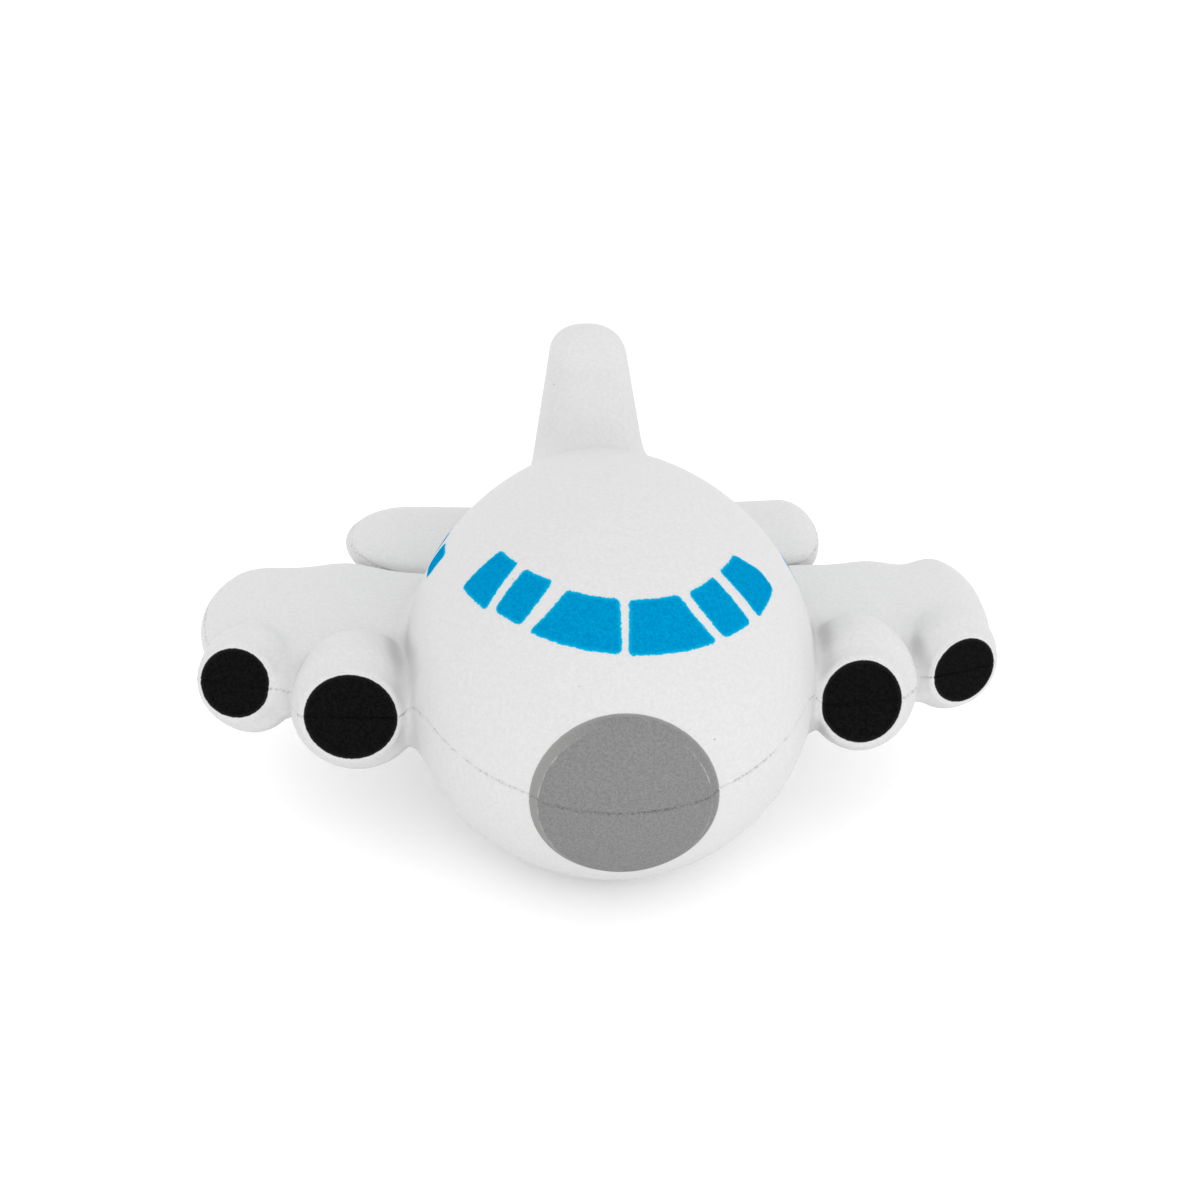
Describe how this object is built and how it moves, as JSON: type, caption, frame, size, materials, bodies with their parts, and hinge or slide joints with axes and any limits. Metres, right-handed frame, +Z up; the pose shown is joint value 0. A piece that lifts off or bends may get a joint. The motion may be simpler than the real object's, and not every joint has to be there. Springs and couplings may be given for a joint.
{
  "type": "toy airplane",
  "caption": "Squeezable soft foam toy jet airliner with a chubby round body, thick swept wings, engine pods with painted intakes, painted windows and a grey nose.",
  "frame": {"origin": "on the surface the toy rests on, under the middle of its overall width and length", "axes": "+Z up, the nose points to -Y, the wings lie along X"},
  "size_m": [0.12, 0.0872, 0.0585],
  "materials": {
    "foam": "open-celled cream polyurethane foam",
    "white_skin": "matte white coat on a self-skinned foam surface, finely pebbled",
    "grey_paint": "satin sprayed grey paint",
    "black_paint": "matte sprayed black paint",
    "blue_paint": "satin sprayed sky-blue paint with slightly fuzzy edges"
  },
  "bodies": {
    "root": {"foam_core": "foam", "upper_skin": "white_skin", "lower_skin": "white_skin", "nose_patch": "grey_paint", "intake_left_inner": "black_paint", "intake_left_outer": "black_paint", "intake_right_inner": "black_paint", "intake_right_outer": "black_paint", "windscreen_left_centre": "blue_paint", "windscreen_left_middle": "blue_paint", "windscreen_left_outer": "blue_paint", "windscreen_right_centre": "blue_paint", "windscreen_right_middle": "blue_paint", "windscreen_right_outer": "blue_paint", "cabin_window_left_1": "blue_paint", "cabin_window_left_2": "blue_paint", "cabin_window_left_3": "blue_paint", "cabin_window_left_4": "blue_paint", "cabin_window_right_1": "blue_paint", "cabin_window_right_2": "blue_paint", "cabin_window_right_3": "blue_paint", "cabin_window_right_4": "blue_paint"}
  },
  "joints": []
}
